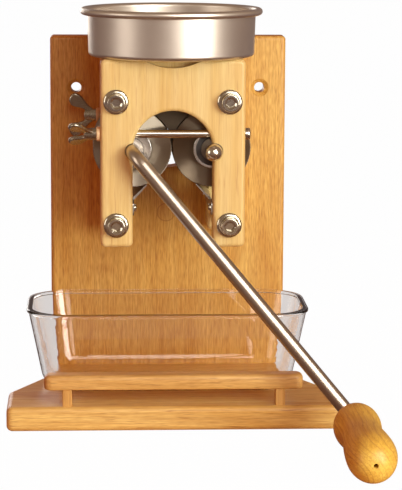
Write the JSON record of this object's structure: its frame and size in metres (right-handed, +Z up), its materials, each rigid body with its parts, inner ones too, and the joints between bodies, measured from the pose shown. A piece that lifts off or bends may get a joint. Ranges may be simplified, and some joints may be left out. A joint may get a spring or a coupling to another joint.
{
  "type": "hand crank grain flaker",
  "caption": "Table-top grain flaker: hand crank turns two steel rollers between wooden fork plates on an upright board, with a round steel hopper above and a glass dish below.",
  "frame": {"origin": "on the underside of the base, below the front face of the back board, on the middle line between the two rollers", "axes": "+X to the right as seen by the person who turns the crank, +Y towards the back, +Z up; the roller axes run along Y"},
  "size_m": [0.2653, 0.3256, 0.3036],
  "materials": {
    "board_beech": "oiled steamed beech, satin",
    "plate_beech": "pale oiled beech, satin",
    "rail_beech": "oiled beech, satin",
    "grip_beech": "turned and oiled beech, satin",
    "polished_steel": "polished stainless steel",
    "turned_steel": "lathe-turned steel",
    "satin_steel": "satin spun stainless steel",
    "zinc_steel": "bright zinc-plated steel",
    "bearing_steel": "ground bearing steel",
    "seal_rubber": "black rubber",
    "cream_nylon": "cream nylon, satin",
    "clear_glass": "clear pressed glass, slightly warm"
  },
  "bodies": {
    "frame": {"base_board": "board_beech", "back_board": "board_beech", "board_screws": "zinc_steel", "rear_plate": "plate_beech", "front_plate": "plate_beech", "spacer_tubes": "satin_steel", "plate_screws": "zinc_steel", "plate_washers": "zinc_steel", "back_washers": "zinc_steel", "back_nuts": "zinc_steel", "drive_bearing_outer_rings": "bearing_steel", "drive_bearing_balls": "bearing_steel", "drive_bearing_seals": "bearing_steel", "adjuster_washers": "cream_nylon", "scraper_left": "satin_steel", "scraper_right": "satin_steel", "scraper_screws": "zinc_steel", "feed_chute": "satin_steel", "chute_screws": "zinc_steel", "dish_rail": "rail_beech", "rail_posts": "rail_beech", "rail_screws": "zinc_steel"},
    "crank": {"crank_bar": "polished_steel", "drive_roller": "turned_steel", "drive_key": "bearing_steel", "drive_spacers": "satin_steel", "drive_bearing_inner_rings": "bearing_steel", "grip_ring": "bearing_steel"},
    "grip": {"grip": "grip_beech"},
    "idler_carriage": {"idler_bearing_outer_rings": "bearing_steel", "idler_bearing_balls": "bearing_steel", "idler_bearing_seals": "seal_rubber", "adjusting_rod_front": "polished_steel", "adjusting_rod_rear": "polished_steel"},
    "idler": {"idler_roller": "turned_steel", "idler_shaft": "polished_steel", "ball_end": "polished_steel", "idler_spacers": "satin_steel", "idler_bearing_inner_rings": "bearing_steel"},
    "front_wing_nut": {"wing_nut_front": "zinc_steel"},
    "rear_wing_nut": {"wing_nut_rear": "zinc_steel"},
    "hopper": {"hopper": "satin_steel"},
    "dish": {"glass_dish": "clear_glass"}
  },
  "joints": [
    {"name": "crank_turn", "type": "hinge", "parent": "frame", "child": "crank", "pos_m": [-0.0293, -0.054, 0.201], "axis": [0, 1, 0], "continuous": true},
    {"name": "grip_spin", "type": "hinge", "parent": "crank", "child": "grip", "pos_m": [0.12609, -0.248, 0.01809], "axis": [0, 1, 0], "continuous": true},
    {"name": "front_nut_turn", "type": "hinge", "parent": "frame", "child": "front_wing_nut", "pos_m": [-0.06, -0.096, 0.213], "axis": [-1, 0, 0], "range_deg": [-108, 540]},
    {"name": "rear_nut_turn", "type": "hinge", "parent": "frame", "child": "rear_wing_nut", "pos_m": [-0.06, -0.0185, 0.219], "axis": [-1, 0, 0], "range_deg": [-108, 540]},
    {"name": "gap_slide", "type": "slide", "parent": "frame", "child": "idler_carriage", "axis": [1, 0, 0], "range_m": [-0.0003, 0.0015]},
    {"name": "idler_spin", "type": "hinge", "parent": "idler_carriage", "child": "idler", "pos_m": [0.0293, -0.054, 0.201], "axis": [0, 1, 0], "continuous": true},
    {"name": "hopper_lift", "type": "slide", "parent": "frame", "child": "hopper", "axis": [0, 0, 1], "range_m": [0, 0.08]},
    {"name": "dish_lift", "type": "slide", "parent": "frame", "child": "dish", "axis": [0, 0, 1], "range_m": [0, 0.045]}
  ],
  "couplings": [
    {"joint": "front_nut_turn", "follows": "gap_slide", "rad_per_m": 6283.2},
    {"joint": "rear_nut_turn", "follows": "gap_slide", "rad_per_m": 6283.2},
    {"joint": "idler_spin", "follows": "crank_turn", "ratio": -1}
  ]
}
